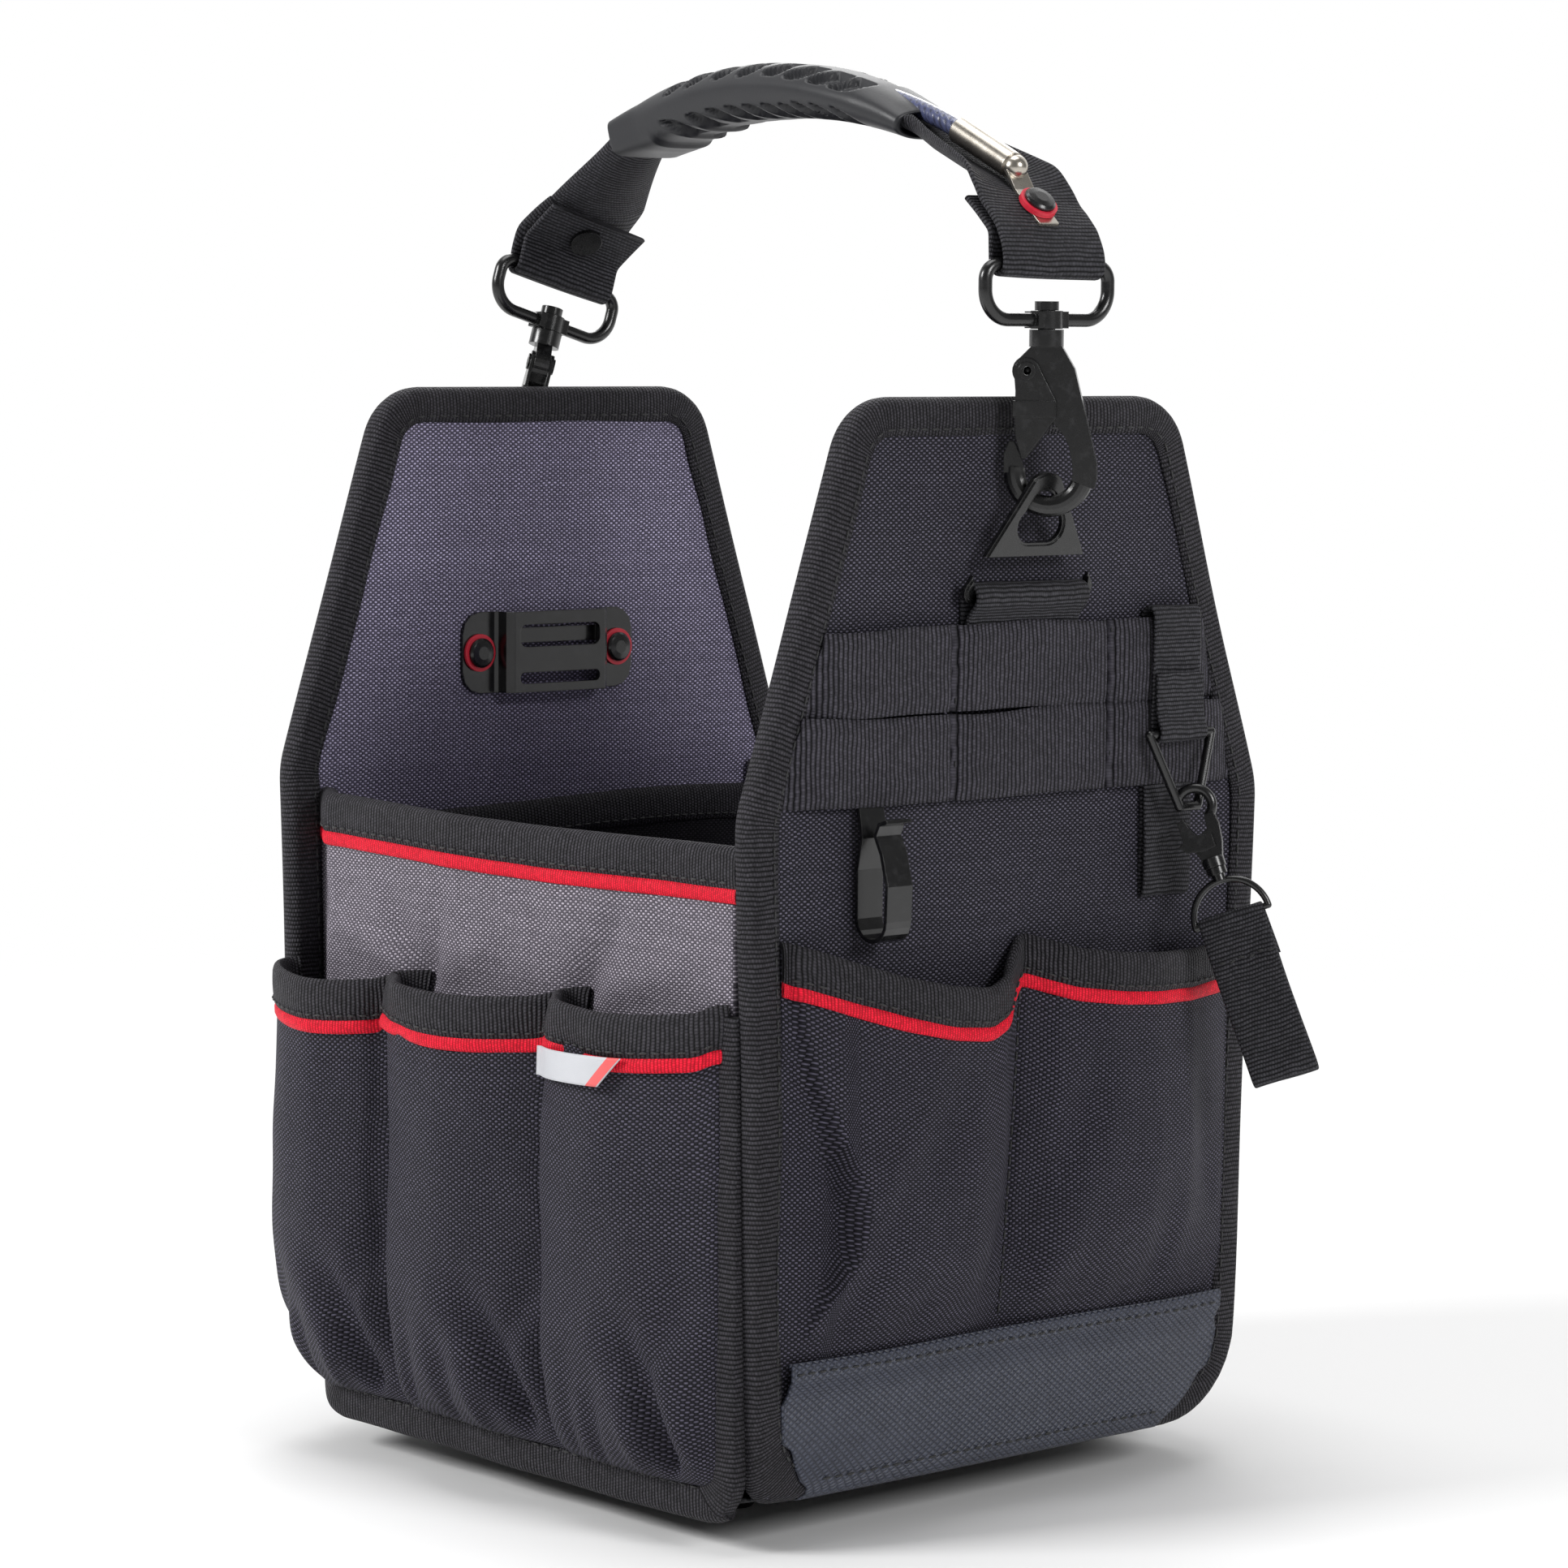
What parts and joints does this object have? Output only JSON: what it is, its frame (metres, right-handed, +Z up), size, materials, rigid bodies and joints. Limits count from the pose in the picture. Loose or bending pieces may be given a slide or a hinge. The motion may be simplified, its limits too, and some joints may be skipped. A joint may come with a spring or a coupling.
{
  "type": "open-top tool tote",
  "caption": "Open-top garden and hand tool tote with tall end panels, pocketed sides and a hook-on webbing carry handle with a moulded grip.",
  "frame": {"origin": "on the floor at the centre of the base, level with the bottoms of the feet", "axes": "+Z up, X along the width of the end panels, Y from the near end panel (with the webbing rows) to the far end panel"},
  "size_m": [0.2415, 0.2989, 0.4269],
  "materials": {
    "outer_fabric": "coarse ballistic weave with light flecks",
    "lining_fabric": "plain weave",
    "wall_fabric": "plain weave",
    "pocket_fabric": "ballistic weave",
    "binding_tape": "grosgrain tape, fine cross ribs",
    "webbing": "ribbed webbing",
    "red_piping": "woven",
    "coated_band": "coated, small embossed diamonds",
    "board": "stiffener board",
    "base_fabric": "coated",
    "black_metal": "semi-gloss black",
    "nickel": "plated, satin",
    "rubber_grip": "satin",
    "cable_sleeve": "braided core under a clear sleeve",
    "red_washer": "semi-gloss",
    "foot_rubber": "matte",
    "steel_screw": "zinc plated",
    "tag_fabric": "satin ribbon"
  },
  "bodies": {
    "bag": {"near_panel_fabric": "outer_fabric", "far_panel_fabric": "outer_fabric", "panel_boards": "board", "near_panel_lining": "lining_fabric", "far_panel_lining": "lining_fabric", "near_panel_binding": "binding_tape", "far_panel_binding": "binding_tape", "left_wall": "wall_fabric", "right_wall": "wall_fabric", "left_wall_binding": "binding_tape", "right_wall_binding": "binding_tape", "wall_piping": "red_piping", "base_fabric": "base_fabric", "base_board": "board", "feet": "foot_rubber", "foot_screws": "steel_screw", "left_sleeves": "pocket_fabric", "right_sleeves": "pocket_fabric", "left_sleeve_binding": "binding_tape", "right_sleeve_binding": "binding_tape", "sleeve_piping": "red_piping", "near_pocket": "pocket_fabric", "far_pocket": "pocket_fabric", "near_pocket_binding": "binding_tape", "far_pocket_binding": "binding_tape", "end_pocket_piping": "red_piping", "inner_pocket": "pocket_fabric", "inner_pocket_binding": "binding_tape", "base_bands": "coated_band", "loop_webbing": "webbing", "near_eye_strap": "webbing", "far_eye_strap": "webbing", "tool_bracket": "black_metal", "bracket_rivets": "black_metal", "bracket_washers": "red_washer", "key_strap": "webbing", "label_tag": "tag_fabric"},
    "clip": {"hanging_clip": "black_metal"},
    "near_eye": {"near_eye_plate": "black_metal"},
    "far_eye": {"far_eye_plate": "black_metal"},
    "handle": {"grip": "rubber_grip", "handle_webbing": "webbing", "handle_cable": "cable_sleeve", "ferrule": "nickel", "handle_rivets": "black_metal", "handle_washers": "red_washer", "near_swivel_ring": "black_metal", "far_swivel_ring": "black_metal"},
    "near_snap": {"near_hook": "black_metal", "near_gate_pin": "black_metal"},
    "far_snap": {"far_hook": "black_metal", "far_gate_pin": "black_metal"},
    "near_snap_gate": {"near_gate": "black_metal"},
    "far_snap_gate": {"far_gate": "black_metal"},
    "key_link": {"key_ring": "black_metal"},
    "key_snap": {"key_hook": "black_metal"},
    "key_latch": {"key_trigger": "black_metal"},
    "key_swivel": {"key_d_ring": "black_metal"},
    "key_tail": {"key_loop": "webbing"}
  },
  "joints": [
    {"name": "clip_slide", "type": "slide", "parent": "bag", "child": "clip", "axis": [1, 0, 0], "range_m": [-0.013, 0.024]},
    {"name": "near_eye_tilt", "type": "hinge", "parent": "bag", "child": "near_eye", "pos_m": [0, -0.1153, 0.2702], "axis": [1, 0, 0], "range_deg": [-0.5, 3]},
    {"name": "far_eye_tilt", "type": "hinge", "parent": "bag", "child": "far_eye", "pos_m": [0, 0.1153, 0.2702], "axis": [1, 0, 0], "range_deg": [-1, 0.5]},
    {"name": "handle_swing", "type": "hinge", "parent": "bag", "child": "handle", "pos_m": [0, 0, 0.299], "axis": [0, 1, 0], "range_deg": [-34, 10]},
    {"name": "near_snap_swivel", "type": "hinge", "parent": "handle", "child": "near_snap", "pos_m": [0, -0.1223, 0.299], "axis": [0, 0, 1], "range_deg": [-12, 4]},
    {"name": "far_snap_swivel", "type": "hinge", "parent": "handle", "child": "far_snap", "pos_m": [0, 0.1224, 0.2993], "axis": [0.2924, 0, 0.9563], "range_deg": [-5, 6]},
    {"name": "near_gate_open", "type": "hinge", "parent": "near_snap", "child": "near_snap_gate", "pos_m": [-0.00348, -0.1183, 0.3348], "axis": [-0.7547, -0.6561, 0], "range_deg": [0, 28], "stiffness_Nm_per_rad": 0.05, "springref_deg": -11.46},
    {"name": "far_gate_open", "type": "hinge", "parent": "far_snap", "child": "far_snap_gate", "pos_m": [0.00771, 0.11796, 0.33438], "axis": [0.802, -0.5446, -0.2452], "range_deg": [0, 28], "stiffness_Nm_per_rad": 0.05, "springref_deg": -11.46},
    {"name": "key_ring_tilt", "type": "hinge", "parent": "bag", "child": "key_link", "pos_m": [0.0616, -0.1189, 0.227], "axis": [1, 0, 0], "range_deg": [-60, 2]},
    {"name": "key_snap_tilt", "type": "hinge", "parent": "key_link", "child": "key_snap", "pos_m": [0.0616, -0.1226, 0.2054], "axis": [1, 0, 0], "range_deg": [-40, 2]},
    {"name": "key_latch_open", "type": "hinge", "parent": "key_snap", "child": "key_latch", "pos_m": [0.06413, -0.12892, 0.19488], "axis": [-0.7871, -0.6061, 0.1145], "range_deg": [0, 22], "stiffness_Nm_per_rad": 0.01, "springref_deg": -11.46},
    {"name": "key_swivel_turn", "type": "hinge", "parent": "key_snap", "child": "key_swivel", "pos_m": [0.06497, -0.13174, 0.18572], "axis": [-0.1249, 0.3384, 0.9327], "continuous": true},
    {"name": "key_tail_tilt", "type": "hinge", "parent": "key_swivel", "child": "key_tail", "pos_m": [0.06667, -0.13634, 0.17303], "axis": [0.604, -0.7198, 0.342], "range_deg": [-60, 30]}
  ]
}
